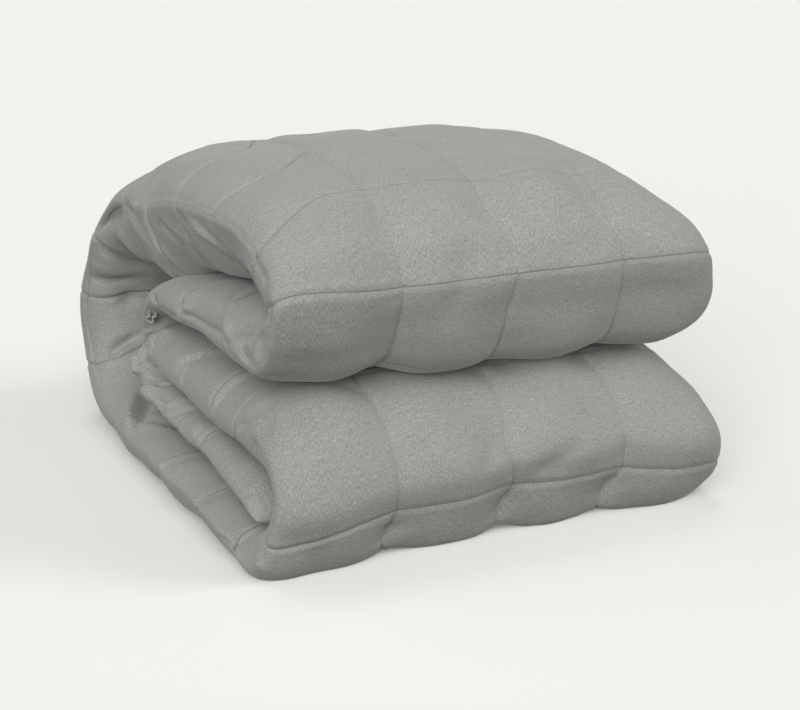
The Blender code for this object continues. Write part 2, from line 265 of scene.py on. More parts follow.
# How far the three lengthwise seams sway sideways along the path, in squares
swayColumns = ("at", "leftSeam", "middleSeam", "rightSeam")
swayRows = (
    (-5.0, 0.00, 0.00, 0.00), (-0.4, 0.02, -0.03, 0.03), (0.0, 0.01, 0.00, 0.00),
    (0.35, 0.00, -0.04, -0.07), (0.6, 0.00, -0.07, -0.03), (1.0, 0.01, -0.04, 0.02),
    (1.6, 0.07, -0.02, 0.07), (2.2, 0.05, 0.02, 0.07), (3.1, 0.03, 0.08, 0.04),
    (5.0, -0.03, 0.02, -0.04), (7.0, 0.03, -0.04, 0.02), (9.0, -0.02, 0.02, 0.00),
    (12.3, -0.06, -0.02, -0.05), (12.7, -0.08, -0.03, -0.04), (13.0, -0.03, 0.04, 0.07),
    (13.5, -0.04, -0.07, 0.05), (13.8, -0.07, 0.01, 0.02), (14.1, -0.08, 0.04, 0.01),
    (15.0, 0.00, 0.00, 0.00), (21.0, 0.00, 0.00, 0.00),
)

# The sewn line by the left edge, on the outer and the inner face along the path: how far it is
# moved over the edge, in squares, and how strongly it shows
edgeColumns = ("at", "outShift", "outShows", "inShift", "inShows")
edgeRows = (
    (-4.0, 0.000, 0.0, 0.000, 0.0), (0.2, -0.030, 0.0, 0.000, 0.0), (0.5, -0.040, 0.7, 0.000, 0.0),
    (0.8, -0.044, 1.0, 0.000, 0.0), (1.4, -0.042, 1.0, 0.000, 0.0), (2.1, -0.042, 1.0, 0.000, 0.0),
    (2.6, -0.042, 1.0, 0.000, 0.0), (3.0, -0.043, 1.0, 0.000, 0.0), (3.4, -0.044, 1.0, 0.000, 0.0),
    (3.7, -0.042, 0.0, -0.030, 0.0), (5.0, -0.030, 0.0, -0.042, 0.8), (5.7, 0.000, 0.0, -0.038, 1.0),
    (6.1, 0.000, 0.0, -0.033, 1.0), (7.3, 0.000, 0.0, -0.026, 1.0), (7.8, 0.000, 0.0, -0.010, 0.8),
    (8.8, 0.000, 0.0, -0.010, 0.6), (9.6, -0.020, 0.0, -0.038, 0.4), (10.2, -0.020, 0.0, -0.030, 0.0),
    (12.0, 0.000, 0.0, 0.000, 0.0), (21.0, 0.000, 0.0, 0.000, 0.0),
)

# Creases, as troughs or ridges along bowed lines. A row is the stretch of the path that it is on,
# three places (x, y, z) on its line in the fold table's squares, and how high it stands and how
# wide it is on each side, both in millimetres.
creaseRows = (
    # left end of the upper outer layer, from its back to the front fold
    (3.0, 6.0, -2.12, 4.10, 1.95, -2.12, 3.70, 2.18, -2.08, 3.20, 2.36, -7.0, 5.0),
    (3.0, 6.0, -2.12, 3.20, 2.36, -2.09, 3.00, 2.26, -2.00, 2.85, 2.06, -7.5, 6.0),
    (2.0, 5.0, -2.10, 3.62, 2.16, -2.05, 3.50, 2.06, -2.00, 3.40, 1.96, 5.0, 8.0),
    (2.0, 4.0, -2.08, 2.66, 2.44, -2.10, 2.70, 2.25, -2.03, 2.58, 2.05, 6.0, 6.0),
    (2.0, 4.0, -2.08, 2.48, 2.38, -2.08, 2.34, 2.26, -2.05, 2.15, 2.12, -4.5, 6.0),
    (1.0, 3.0, -2.08, 2.28, 2.42, -2.08, 2.10, 2.30, -2.04, 1.80, 2.15, 2.5, 6.0),
    (1.0, 3.0, -2.05, 1.92, 2.50, -2.07, 1.52, 2.37, -2.00, 1.26, 2.18, -6.0, 5.5),
    (1.0, 3.0, -2.03, 1.80, 2.53, -2.06, 1.36, 2.41, -2.02, 1.02, 2.25, 4.0, 5.5),
    (0.5, 3.0, -2.03, 1.58, 2.56, -2.06, 1.16, 2.35, -1.98, 0.96, 2.20, -3.0, 4.0),
    (0.5, 3.0, -2.03, 1.30, 2.54, -2.06, 0.98, 2.40, -2.00, 0.74, 2.25, 2.5, 6.0),
    (0.0, 1.5, -2.04, 0.42, 2.52, -2.05, 0.23, 2.43, -2.04, 0.10, 2.33, -3.0, 4.5),
    (0.0, 1.5, -2.00, 0.28, 2.52, -2.00, 0.18, 2.44, -2.03, 0.06, 2.31, -2.0, 3.5),
    # back of the top, near the left end
    (2.5, 4.0, -1.98, 2.92, 2.60, -2.03, 2.76, 2.53, -2.06, 2.70, 2.46, -4.0, 5.0),
    (2.5, 4.5, -2.02, 3.02, 2.54, -1.96, 3.14, 2.62, -1.86, 3.26, 2.68, -3.0, 7.0),
    # inner face of the spine and its left edge
    (4.5, 6.4, -2.10, 4.08, 1.86, -1.92, 4.02, 1.70, -1.55, 4.08, 1.54, -7.5, 7.0),
    (5.2, 6.3, -2.10, 4.28, 1.62, -1.95, 4.20, 1.56, -1.70, 4.15, 1.52, 3.0, 7.0),
    (5.0, 6.3, -2.09, 4.42, 1.44, -1.97, 4.28, 1.42, -1.70, 4.16, 1.42, -5.5, 6.0),
    (5.6, 6.8, -1.84, 4.31, 1.21, -1.74, 4.31, 1.20, -1.64, 4.31, 1.19, -7.5, 6.5),
    (6.4, 7.6, -2.02, 4.28, 0.69, -1.86, 4.30, 0.77, -1.68, 4.30, 0.84, -11.0, 5.0),
    (6.4, 8.0, -2.06, 4.26, 0.60, -1.92, 4.27, 0.68, -1.74, 4.27, 0.76, 5.5, 5.0),
    # inner face of the lower outer layer
    (7.6, 9.4, -1.92, 3.72, 0.46, -2.08, 3.36, 0.39, -2.15, 3.12, 0.35, 7.0, 5.0),
    (7.6, 9.0, -1.74, 3.80, 0.48, -1.96, 3.38, 0.43, -2.10, 3.10, 0.37, -10.0, 6.5),
    (8.2, 10.0, -2.16, 3.12, 0.35, -2.00, 3.00, 0.40, -1.80, 2.62, 0.42, -7.0, 4.5),
    (8.4, 10.4, -2.16, 3.02, 0.34, -2.02, 2.90, 0.39, -1.84, 2.52, 0.42, 4.5, 5.0),
    (8.4, 9.8, -2.16, 3.10, 0.35, -2.19, 3.00, 0.33, -2.18, 2.90, 0.33, -4.5, 4.0),
    (9.6, 11.0, -2.23, 2.04, 0.30, -2.17, 2.14, 0.34, -2.10, 2.20, 0.36, 4.0, 4.0),
    (9.8, 11.0, -2.18, 1.98, 0.33, -2.06, 1.98, 0.37, -1.90, 2.00, 0.40, -5.5, 5.0),
    (10.7, 12.0, -2.20, 1.12, 0.29, -2.10, 1.18, 0.33, -1.92, 1.22, 0.37, -5.0, 4.5),
    (11.6, 12.8, -2.22, 0.50, 0.18, -2.09, 0.50, 0.22, -1.92, 0.52, 0.26, -5.5, 4.0),
    (11.2, 12.6, -2.24, 0.70, 0.17, -2.24, 0.58, 0.17, -2.22, 0.44, 0.17, -3.0, 4.0),
    (12.0, 13.4, -2.12, 0.06, 0.28, -2.17, 0.05, 0.24, -2.16, 0.02, 0.15, -3.0, 3.5),
    (12.0, 13.4, -2.20, 0.12, 0.16, -2.18, 0.07, 0.12, -2.14, 0.03, 0.06, 3.0, 5.0),
    # left end of the upper inner layer and its nose
    (-4.0, -1.6, -2.03, 2.76, 1.62, -2.05, 2.70, 1.59, -2.04, 2.66, 1.57, -11.0, 5.5),
    (-4.0, -1.6, -2.04, 2.66, 1.57, -2.05, 2.44, 1.56, -2.04, 2.16, 1.57, -5.5, 4.5),
    (-3.0, -1.4, -2.05, 2.16, 1.62, -2.00, 2.06, 1.77, -1.80, 2.04, 1.86, -6.0, 4.5),
    (-2.8, -1.2, -2.05, 1.98, 1.66, -2.00, 1.92, 1.79, -1.80, 1.90, 1.88, 4.0, 6.0),
    (-2.4, -0.8, -2.05, 2.10, 1.67, -2.06, 1.50, 1.69, -2.05, 0.96, 1.74, -5.0, 4.0),
    (-2.0, -0.6, -1.99, 1.24, 1.86, -1.84, 1.38, 1.93, -1.70, 1.50, 1.94, -5.5, 4.5),
    (-2.0, -0.6, -1.86, 1.22, 1.95, -1.99, 0.96, 1.86, -2.05, 0.84, 1.72, 5.5, 5.0),
    (-2.0, -0.6, -2.01, 1.02, 1.84, -2.06, 0.96, 1.72, -2.04, 0.90, 1.62, -5.5, 3.5),
    (-1.6, 0.3, -2.04, 0.64, 1.70, -2.02, 0.60, 1.82, -2.03, 0.10, 2.10, -7.0, 4.0),
    (-1.6, 0.3, -2.05, 0.50, 1.72, -2.03, 0.46, 1.86, -2.02, 0.12, 2.02, 5.0, 5.0),
    (-1.2, 0.2, -2.04, 0.30, 1.86, -2.05, 0.27, 1.78, -2.06, 0.24, 1.68, 5.5, 4.0),
    (-1.6, 0.2, -2.05, 0.62, 1.68, -2.06, 0.52, 1.65, -2.06, 0.40, 1.62, -4.0, 3.0),
    # edges of the lower stack's inner layers
    (17.0, 18.6, -2.04, 3.04, 0.99, -1.99, 2.96, 0.92, -1.90, 2.90, 0.90, -9.0, 4.5),
    (17.0, 18.8, -2.02, 2.84, 0.85, -2.05, 2.86, 0.77, -2.04, 2.94, 0.70, 7.0, 4.5),
    (17.4, 18.8, -2.05, 2.96, 0.80, -2.05, 2.92, 0.74, -2.04, 2.98, 0.66, -5.5, 4.0),
    (17.8, 19.4, -2.06, 2.70, 0.70, -2.05, 2.60, 0.71, -2.00, 2.48, 0.74, -5.5, 4.0),
    (18.2, 19.6, -2.06, 2.38, 0.66, -2.00, 2.26, 0.72, -1.88, 2.16, 0.76, -5.5, 4.0),
    (18.0, 19.2, -2.05, 2.46, 0.68, -1.98, 2.44, 0.74, -1.88, 2.38, 0.79, 4.0, 3.5),
    (18.8, 20.4, -2.06, 1.60, 0.64, -2.00, 1.57, 0.70, -1.88, 1.54, 0.74, -5.0, 4.0),
    (18.8, 20.4, -2.07, 1.76, 0.64, -2.02, 1.77, 0.69, -1.95, 1.83, 0.73, 4.0, 4.0),
    (20.0, 21.0, -2.05, 0.76, 0.58, -1.98, 0.81, 0.64, -1.90, 0.84, 0.68, -4.5, 4.0),
    (14.2, 15.6, -2.05, 1.26, 1.05, -1.96, 1.24, 1.18, -1.70, 1.14, 1.30, -5.0, 5.0),
    (15.2, 16.8, -2.04, 2.12, 1.13, -1.94, 2.12, 1.22, -1.72, 1.80, 1.31, -4.0, 5.0),
    (13.7, 15.0, -2.05, 0.82, 0.99, -2.00, 0.66, 1.12, -1.80, 0.50, 1.22, -5.5, 4.5),
    (13.5, 14.8, -2.06, 0.48, 1.03, -2.07, 0.46, 0.97, -2.06, 0.46, 0.88, -7.0, 4.5),
    (13.5, 14.8, -1.94, 0.48, 1.14, -1.95, 0.40, 1.11, -1.97, 0.30, 1.07, -5.0, 5.0),
    # the bunched nose of the lower stack, and the lip over it
    (16.4, 17.6, -2.00, 3.12, 1.18, -1.94, 2.96, 1.26, -1.84, 2.74, 1.31, 7.5, 9.0),
    (17.2, 18.0, -2.04, 3.12, 1.02, -2.05, 3.10, 0.93, -2.04, 3.04, 0.84, 10.0, 7.0),
    (17.9, 18.6, -2.05, 2.94, 0.76, -2.05, 2.85, 0.72, -2.05, 2.76, 0.69, 5.5, 5.0),
    (16.8, 17.8, -2.05, 3.08, 1.10, -2.01, 3.00, 1.05, -1.96, 2.90, 1.01, -5.5, 4.0),
    # the upper front fold, by its lengthwise seams and across its cross seam
    (0.05, 1.0, -1.00, 0.50, 2.80, -1.03, 0.20, 2.62, -1.00, 0.06, 2.38, -4.5, 7.0),
    (0.05, 1.0, -0.90, 0.36, 2.74, -0.90, 0.16, 2.56, -0.92, 0.05, 2.36, 3.0, 8.0),
    (0.05, 1.0, -0.13, 0.40, 2.77, -0.10, 0.15, 2.55, -0.05, 0.05, 2.36, -4.5, 8.0),
    (0.05, 1.0, 0.05, 0.30, 2.72, 0.08, 0.13, 2.52, 0.08, 0.04, 2.34, 3.5, 8.0),
    (0.05, 1.0, 0.83, 0.40, 2.79, 0.86, 0.13, 2.54, 0.94, 0.04, 2.32, -4.5, 8.0),
    (-0.9, 0.6, -0.38, 0.07, 2.46, -0.52, 0.00, 2.24, -0.58, 0.00, 1.95, -6.0, 11.0),
    # the lower front fold, over and under its cross seam
    (13.1, 13.7, -0.15, -0.04, 0.89, -0.22, -0.09, 0.75, -0.27, -0.09, 0.57, -3.5, 8.0),
    (12.9, 13.6, 0.60, -0.10, 0.76, 0.40, -0.10, 0.58, 0.20, -0.06, 0.44, -4.5, 12.0),
    (12.9, 13.6, 1.05, -0.08, 0.70, 1.03, -0.06, 0.52, 1.01, -0.03, 0.38, -3.0, 8.0),
    (12.4, 13.0, 0.02, -0.02, 0.27, -0.05, 0.03, 0.15, -0.08, 0.08, 0.08, -4.5, 10.0),
    (12.4, 13.0, -1.05, -0.03, 0.27, -1.08, 0.02, 0.16, -1.10, 0.08, 0.08, -4.5, 10.0),
    (12.4, 13.0, 1.00, -0.02, 0.27, 0.94, 0.03, 0.16, 0.90, 0.08, 0.08, -4.5, 10.0),
    # the top of the lower fold, just under the upper one
    (13.7, 14.3, -0.12, 0.60, 1.30, -0.03, 0.52, 1.27, 0.03, 0.44, 1.24, -4.0, 7.0),
    (13.7, 14.3, 0.18, 0.62, 1.31, 0.26, 0.52, 1.29, 0.32, 0.46, 1.27, -3.0, 6.0),
    (13.7, 14.3, 0.88, 0.58, 1.29, 0.95, 0.50, 1.26, 0.99, 0.41, 1.22, -4.0, 7.0),
    (13.7, 14.3, -1.33, 0.58, 1.29, -1.14, 0.50, 1.27, -1.07, 0.38, 1.22, -4.0, 7.0),
    (-4.2, -3.2, -1.86, 3.26, 1.25, -1.74, 3.28, 1.22, -1.50, 3.28, 1.20, 9.0, 13.0),
)

blanket = {
    "square": 0.1016,  # pitch of the quilting
    "edgeSeam": 2,  # the last sewn line on each side, in squares from the middle
    "halfAcross": 2.045,  # from the middle round to the middle of a side edge, in squares
    "innerCrown": 14,  # how square the inner face runs to each edge
    "leafLean": 0.10,  # how far the left end of the upper outer layer leans in under its edge
    "leafSince": (0.5, 1.3),  # the stretches of the path on which that lean begins and ends
    "leafUntil": (4.0, 5.0),
    "middle": (-0.07797, 2.47766),  # of the footprint, in the fold table's squares
    # stations for each square, on the stretches between these places along the path
    "stretches": (
        (-5, -1, 18), (-1, 3, 18), (3, 8, 14), (8, 12, 12), (12, 15, 20), (15, 18, 15), (18, 21, 14),
    ),
    "endGap": 0.05,  # no other station is as near as this to the path's two ends
    # stations for each square across, from left to right
    "outerStations": (27, 18, 18, 18),
    "innerStations": (18, 10, 10, 10),
    "leftTipStations": 15,
    "rightTipStations": 6,
    "leftLean": 1.35,  # how much finer the stations are by the left edge
    "gather": 0.45,  # how strongly stations gather at the seams
    "gatherFrom": -1.5,  # nearer the left edge they don't
    # the cross seams' slip, in squares left of the middle: where it begins at the front and at the
    # back, where it is whole before the edge, and where the slip at the edge takes over
    "slipBegins": (1.0, -0.6),
    "slipWhole": 1.5,
    "slipEdge": (1.3, 2.05),
    "frontToBack": (3, 5),  # where the path passes from the front to the back
    "swayReach": (0.4, 1, 1, 1),  # how far round each lengthwise sewn line the cloth sways with it
    "rightShows": 0.3,  # how strongly the right edge's sewn line shows
    "hiddenGap": 0.02,  # added to the distance to a line that doesn't show
    "softer": 0.0005,  # added to the distance to the other lengthwise seams, so that they show less
    # the squares' rounding along and across: 1 for a plain wave between the seams
    "rounded": 0.85,
    "roundedAcross": 1.1,
    # how far the cloth draws in at a seam, as a share of a lengthwise seam's: at the cross seams, at
    # each side edge's sewn line, and on the inner face
    "crossDraw": 0.3,
    "edgeDrawLeft": 0.35,
    "edgeDrawRight": 0.25,
    "innerDraw": 0.4,
    "foldSeams": (0, 13),  # the cross seams where the upper and the lower front fold turn
    "drawFrom": (0.5, 1.5),  # how far from those seams the others begin to draw in
    "thinCloth": 0.2,  # thinner than this, in squares, the cloth draws in less
    # the seam of the upper front fold stands out like a prow: its height, its reach, and how sharp it
    # is, where 1 is straight
    "prowHeight": 0.0018,
    "prowReach": 0.12,
    "prowSharp": 1.3,
    "prowFade": 1.2,  # how fast the prow and the draw fade towards a side edge
    "drawFade": 1.5,
    "firstSeam": -3,  # nearer the hem there is no cross seam
    "grooveDepth": 0.0012,
    "grooveWidth": 0.0024,
    "lipRise": 0.0003,
    "lipWidth": 0.0050,
    # gathers: their height and reach from a seam, how many a square has along it and away from it,
    # and where in their random lattices the two kinds and the inner face begin
    "puckerHeight": 0.0010,
    "puckerReach": 0.013,
    "puckerFine": 6.5,
    "puckerCoarse": 1.2,
    "puckerSeeds": (3, 5),
    "puckerStarts": (40, 20, 60),
    "innerStart": 31,
    "lumpHeight": 0.0010,
    "lumpLength": 0.075,
    "lumpFineness": (0.7, 1.4),  # of the coarsest and the finest of the lumps' waves
    "lumpWaves": 14,
    "lumpSeed": 11,
    # creases: points on each line, how many widths round it are worked out, what is left of it at its
    # ends, and how fast it grows from them
    "creaseSteps": 9,
    "creaseReach": 3,
    "creaseEnds": 0.25,
    "creaseGrows": 5.6,
    "evening": 4,  # rounds in which normals are evened out with their neighbours
    "almost": 1e-6,  # two equal places across may differ by this
    "aroundJump": 0.3,  # a face's corners are never this far apart round the cloth
    # plush: the scales of its three noises, their shares of the tone, and the tones that are fully
    # dark and fully light
    "fibres": (1100, 420, 1),
    "mottle": 160.0,
    "brushed": 22.0,
    "toneShares": (0.76, 0.16, 0.08),
    "toneLimits": (0.32, 0.68),
    "bumpShares": (0.5, 0.5, 2.2),  # of fibres, mottle and the sewn line
    "bumpStrength": 0.5,
    "bumpDistance": 0.0005,
    "bumpSeam": (0.0, 0.0013),  # from the sewn line to where its bump and its painted shade end
    "shadeSeam": (0.0001, 0.0011),
    "grey": (0.312, 0.312, 0.291),
    "dark": 0.70,
    "light": 1.30,
    # the sewn line's tone: partly the thread's own colour, partly painted shade in its groove
    "threadAndGrooveShade": 0.74,
    "roughness": 0.92,
    "sheen": 0.25,
    "sheenRoughness": 0.5,
    "gloss": 0.2,
}


# The fold table's columns at any places along the path, on a smooth curve through its rows
def alongPath(at):
    table = np.array(foldRows)
    knots, values = table[:, 0], table[:, 1:]
    gaps = np.diff(knots)[:, None]
    slopes = np.diff(values, axis=0) / gaps
    tangents = np.empty_like(values)
    tangents[0], tangents[-1] = slopes[0], slopes[-1]
    tangents[1:-1] = (slopes[:-1] * gaps[1:] + slopes[1:] * gaps[:-1]) / (gaps[1:] + gaps[:-1])
    place = at.ravel()
    row = np.clip(np.searchsorted(knots, place, side="right") - 1, 0, len(knots) - 2)
    t = (place - knots[row])[:, None] / gaps[row]
    bend = gaps[row] * (t * (1 - t) ** 2 * tangents[row] - t * t * (1 - t) * tangents[row + 1])
    found = values[row] + eased(t, 0, 1) * (values[row + 1] - values[row]) + bend
    return {name: column.reshape(at.shape) for name, column in zip(foldColumns[1:], found.T)}


# Evenly spaced places, gathered towards the whole numbers: place - gather * sin(2 pi place) / 2 pi
def gathered(even):
    return even - blanket["gather"] * np.sin(2 * np.pi * even) / (2 * np.pi)


# Places along the path. Every second one is a fine station, which only the blanket's left end has.
def pathStations():
    start, end, gap = foldRows[0][0], foldRows[-1][0], blanket["endGap"]
    coarse = np.concatenate([np.arange(low, high, 1 / count) for low, high, count in blanket["stretches"]])
    coarse = coarse[(coarse > start + gap) & (coarse < end - gap)]
    coarse = np.concatenate([[start], coarse, [end]])
    even = np.empty(2 * len(coarse) - 1)
    even[::2], even[1::2] = coarse, (coarse[:-1] + coarse[1:]) / 2
    stations = gathered(even)
    stations[[0, -1]] = start, end
    return np.sort(stations)


# Places across the cloth, with a count of stations in each square
def acrossStations(counts):
    edge = blanket["edgeSeam"]
    squares = [np.arange(count) / count + first for first, count in enumerate(counts, -edge)]
    even = np.concatenate(squares + [[edge]])
    leaning = np.clip(even + edge, 0, 1) ** blanket["leftLean"] - edge
    even = np.where(even < 1 - edge, leaning, even)
    return np.where(even > blanket["gatherFrom"], gathered(even), even)


# One closed loop of places across the cloth: over the outer face, round the right edge, back over
# the inner face and round the left edge. Past the last sewn line on each side a place is a step
# round the edge instead, from 0 at the sewn line to 1 at the tip.
def loopOfPlaces():
    edge = float(blanket["edgeSeam"])
    outer, inner = (acrossStations(blanket[face]) for face in ("outerStations", "innerStations"))
    tips = (blanket["rightTipStations"], blanket["leftTipStations"])
    right, left = (np.arange(1, count) / count for count in tips)
    across = np.concatenate([
        outer, np.full(2 * len(right) + 1, edge), inner[::-1], np.full(2 * len(left) + 1, -edge),
    ])
    roundEdge = np.concatenate([
        0 * outer, right, [1], right[::-1], 0 * inner, left, [1], left[::-1],
    ])
    outside = np.concatenate([
        np.ones(len(outer) + len(right) + 1), np.zeros(len(right) + len(inner) + len(left)),
        np.ones(len(left) + 1),
    ]) > 0
    return across, roundEdge, outside


# How far the left edge's sewn line is moved, and how strongly it shows, at each place
def leftEdgeSeam(at, outside):
    edge = tableAt(edgeColumns, edgeRows, at)
    return [np.where(outside, edge[f"out{what}"], edge[f"in{what}"]) for what in ("Shift", "Shows")]


# Where each point of the quilting lies along the path and across the cloth. The cross seams slip
# near the left edges and the lengthwise seams sway.
def quiltPlaces(along, across, outside):
    slips = tableAt(slipColumns, slipRows, along[:, None])
    outward = -across
    front, back = blanket["slipBegins"]
    begins = front + (back - front) * eased(along, *blanket["frontToBack"])[:, None]
    slip = slips["beforeEdge"] * eased(outward, begins, blanket["slipWhole"])
    slip = slip + (slips["atEdge"] - slips["beforeEdge"]) * eased(outward, *blanket["slipEdge"])
    at = np.clip(along[:, None] + slip, foldRows[0][0], foldRows[-1][0])
    sways = [leftEdgeSeam(at, outside)[0], *tableAt(swayColumns, swayRows, at).values()]
    sway = 0 * at
    for seam, (amount, reach) in enumerate(zip(sways, blanket["swayReach"]), -blanket["edgeSeam"]):
        sway = sway + amount * np.clip(1 - np.abs(across - seam) / reach, 0, 1)
    return at, across + sway


# The cloth before its fine relief, and the same in squares without its lean and its hanging parts
# (home). A section is two flattened half rounds, one on each side of the line between the two edge
# tips; height between the faces follows full = (1 - (x / edge) ^ crown) ^ 0.5.
def plainCloth(at, across, roundEdge, outside):
    fold = alongPath(at)
    leftward = across < 0
    edge = np.where(leftward, fold["left"], fold["right"])
    reach = np.abs(across)
    widening = (edge - 1) / (blanket["halfAcross"] - 1)
    x = np.where(reach < 1, reach, 1 + (reach - 1) * widening)
    crown = np.where(leftward, fold["crownLeft"], fold["crownRight"])
    crown = np.where(outside, crown, blanket["innerCrown"])
    full = np.sqrt(np.clip(1 - (x / edge) ** crown, 0, 1))
    rounding = roundEdge > 0
    full = np.where(rounding, full * (1 - roundEdge), full)
    x = np.where(rounding, edge * (1 - full**2) ** (1 / crown), x)

    rightness = (np.where(leftward, -x, x) / edge + 1) / 2
    tip = fold["tipLeft"] + (fold["tipRight"] - fold["tipLeft"]) * rightness
    level = np.where(outside, tip + (1 - tip) * full, tip - tip * full)
    y = fold["inY"] + (fold["outY"] - fold["inY"]) * level
    z = fold["inZ"] + (fold["outZ"] - fold["inZ"]) * level
    home = np.stack([np.where(leftward, -x, x), y, z], axis=-1)

    ending = 1 - eased(at, *blanket["leafUntil"])
    leaf = eased(at, *blanket["leafSince"]) * ending * leftward
    x = x * (1 - blanket["leafLean"] * leaf * np.where(outside, 0, full))
    x = np.where(leftward, -x, x)
    for since, whole, still, until, noneAt, allAt, face, back, up in nudgeRows:
        share = eased(at, since, whole) * (1 - eased(at, still, until)) * eased(x, noneAt, allAt)
        share = share * np.where(outside, face == "outer", face == "inner") * full
        y, z = y + back * share, z + up * share
    points = np.stack([x, y, z], axis=-1) - np.array([*blanket["middle"], 0.0])
    return blanket["square"] * points, home, fold, full


# Unit normals of a grid of points that closes on itself in its second direction
def gridNormals(points):
    down = np.gradient(points, axis=0)
    sideways = np.roll(points, -1, axis=1) - np.roll(points, 1, axis=1)
    return unit(np.cross(sideways, down))


# The same normals, each evened out with its neighbours, so that relief doesn't cross itself at edges
def softNormals(points):
    normal = gridNormals(points)
    for again in range(blanket["evening"]):
        normal = normal + np.roll(normal, 1, axis=1) + np.roll(normal, -1, axis=1)
        normal[1:-1] = normal[1:-1] + normal[:-2] + normal[2:]
        normal = unit(normal)
    return normal


# Distances along the surface, in metres: to the nearest cross seam, to the nearest lengthwise seam
# and to the nearest sewn line that shows, and the way round the cloth from its first point
def seamDistances(points, along, across, at, roundEdge, outside):
    stepDown = np.linalg.norm(np.diff(points, axis=0), axis=-1)
    travel = np.concatenate([np.zeros((1, points.shape[1])), np.cumsum(stepDown, axis=0)])
    lines = np.clip(np.round(along), blanket["firstSeam"], np.floor(along[-1]))
    rows = np.abs(along[:, None] - lines[None, :]).argmin(0)
    toCross = np.abs(travel - travel[rows])

    stepRound = np.linalg.norm(np.roll(points, -1, axis=1) - points, axis=-1)
    around = np.cumsum(stepRound, axis=1) - stepRound
    nearest = np.round(across)
    seams = np.where((np.abs(across - nearest) < blanket["almost"]) & (roundEdge == 0))[0]
    edges = np.abs(nearest[seams]) == blanket["edgeSeam"]
    toLong, toEdge = (
        np.abs(around[:, :, None] - around[:, None, chosen]).min(-1)
        for chosen in (seams[~edges], seams[edges])
    )
    shows = np.where(across < 0, leftEdgeSeam(at, outside)[1], blanket["rightShows"])
    toEdge = toEdge + blanket["hiddenGap"] * (1 - shows)
    toSeam = np.minimum(np.minimum(toCross, toLong + blanket["softer"]), toEdge)
    return toCross, np.minimum(toLong, toEdge - blanket["softer"]), toSeam, around


# Height of every crease at each point. A crease is a soft ridge or trough round a bowed line
# through its three places, its height times exp(-(distance / width)^2), and fades at both ends.
def creaseHeights(place, at):
    heights = np.zeros(at.shape)
    t = np.linspace(0, 1, blanket["creaseSteps"])[:, None]
    ends = blanket["creaseEnds"]
    for since, until, *places, high, width in creaseRows:
        first, middle, last = np.array(places).reshape(3, 3)
        bend = 2 * middle - (first + last) / 2
        line = (1 - t) ** 2 * first + 2 * t * (1 - t) * bend + t**2 * last
        wide = width / 1000 / blanket["square"]
        near = (at > since) & (at < until)
        reach = np.ptp(line, axis=0).max() + blanket["creaseReach"] * wide
        near &= np.abs(place - line.mean(0)).max(-1) < reach
        start, run = line[:-1], np.diff(line, axis=0)
        away = place[near][:, None] - start
        held = np.clip(np.einsum("nsk,sk->ns", away, run) / (run**2).sum(1), 0, 1)
        gap = np.linalg.norm(away - held[..., None] * run, axis=-1)
        nearest = gap.argmin(1)
        share = (nearest + np.take_along_axis(held, nearest[:, None], 1)[:, 0]) / len(run)
        fade = ends + (1 - ends) * np.minimum(1, blanket["creaseGrows"] * share * (1 - share))
        heights[near] += high / 1000 * fade * bell(gap.min(1), wide)
    return heights


# The quilting's own form, in metres along the normal: each way, a square stands out between its
# sewn lines as |sin(pi place)| ^ rounded, and the upper front fold's seam stands out as
# (1 - distance / reach) ^ sharp
def quiltForm(along, across, at, fold, full, outside):
    sinAcross = np.abs(np.sin(np.pi * across))[None, :] ** blanket["roundedAcross"]
    leftDraw = blanket["edgeDrawLeft"] * leftEdgeSeam(at, outside)[1]
    edgeDraw = np.where(across < 0, leftDraw, blanket["edgeDrawRight"])
    outermost = np.abs(across) > blanket["edgeSeam"] - 0.5
    sinAcross = np.where(outermost, 1 - (1 - sinAcross) * edgeDraw, sinAcross)
    sinAlong = np.abs(np.sin(np.pi * along))[:, None] ** blanket["rounded"]
    toFolds = [np.abs(along - seam)[:, None] for seam in blanket["foldSeams"]]
    crossDraw = blanket["crossDraw"] * eased(np.minimum(*toFolds), *blanket["drawFrom"])
    pillow = sinAcross * (1 - crossDraw * (1 - sinAlong))
    thick = np.hypot(fold["outY"] - fold["inY"], fold["outZ"] - fold["inZ"])
    thinness = np.minimum(thick / blanket["thinCloth"], 1)
    draw = fold["puff"] * (1 - pillow) * thinness * np.minimum(full * blanket["drawFade"], 1)
    form = -blanket["square"] * draw * np.where(outside, 1, blanket["innerDraw"])
    prow = np.maximum(1 - toFolds[0] / blanket["prowReach"], 0) ** blanket["prowSharp"]
    prow = blanket["prowHeight"] * prow * np.minimum(full * blanket["prowFade"], 1)
    return form + np.where(outside, prow, 0)


# Fine relief of the quilting, in metres along the normal: a groove along each sewn line with a lip
# beside it, gathers that run out from it and fade as exp(-distance / reach), and soft lumps
def quiltRelief(points, along, across, at, outside, toCross, toLong, toSeam):
    relief = -blanket["grooveDepth"] * bell(toSeam, blanket["grooveWidth"])
    lip = bell(toSeam - blanket["lipWidth"], blanket["lipWidth"] / 2)
    relief = relief + blanket["lipRise"] * lip

    u, v = along[:, None] + 0 * at, across[None, :] + 0 * at
    side = np.where(outside, 0.0, blanket["innerStart"])
    fine, coarse, reach = blanket["puckerFine"], blanket["puckerCoarse"], blanket["puckerReach"]
    longSeed, crossSeed = blanket["puckerSeeds"]
    alongStart, longStart, crossStart = blanket["puckerStarts"]
    fromLong = ripple(u * fine + alongStart, v * coarse + side + longStart, longSeed)
    fromCross = ripple(u * coarse + alongStart, v * fine + side + crossStart, crossSeed)
    puckers = fromLong * np.exp(-toLong / reach) + fromCross * np.exp(-toCross / reach)
    waves = (blanket[name] for name in ("lumpLength", "lumpFineness", "lumpWaves", "lumpSeed"))
    return relief + blanket["puckerHeight"] * puckers + blanket["lumpHeight"] * lumps(points, *waves)


